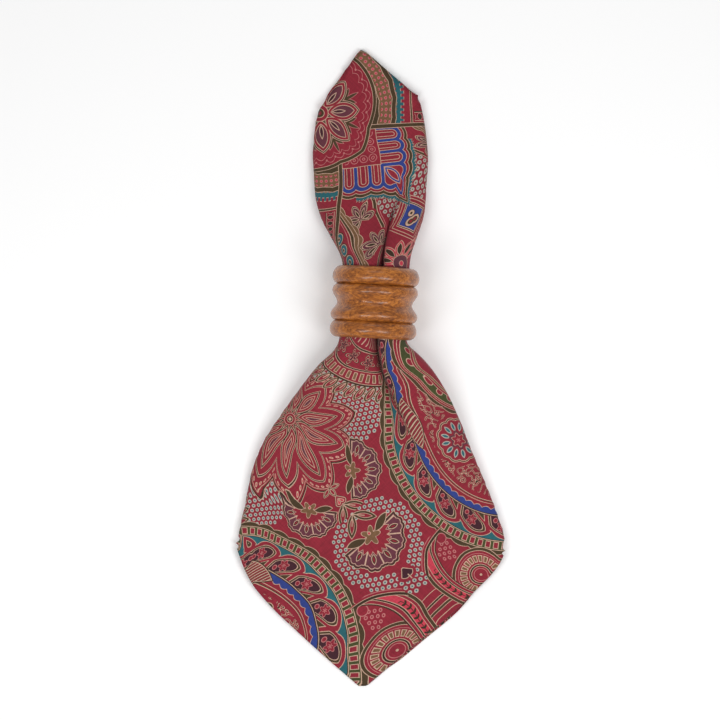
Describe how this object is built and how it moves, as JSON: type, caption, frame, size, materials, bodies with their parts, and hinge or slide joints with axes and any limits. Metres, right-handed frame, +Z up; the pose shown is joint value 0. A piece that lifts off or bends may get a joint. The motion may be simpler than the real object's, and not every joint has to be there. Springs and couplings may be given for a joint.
{
  "type": "cloth napkin in a napkin ring",
  "caption": "Square paisley-print cotton napkin, folded in quarters and drawn as a fan through a turned wooden napkin ring, lying on its back.",
  "frame": {"origin": "on the surface the set lies on, under the middle of its bounding box", "axes": "+Z up from the surface; +Y along the napkin from its wide fanned end to its narrow end; +X to the right seen from above with the narrow end away"},
  "size_m": [0.1343, 0.3191, 0.0429],
  "materials": {
    "printed_cotton": "matte plain weave, printed",
    "turned_wood": "satin lacquer"
  },
  "bodies": {
    "root": {"napkin": "printed_cotton", "napkin_ring": "turned_wood"}
  },
  "joints": []
}
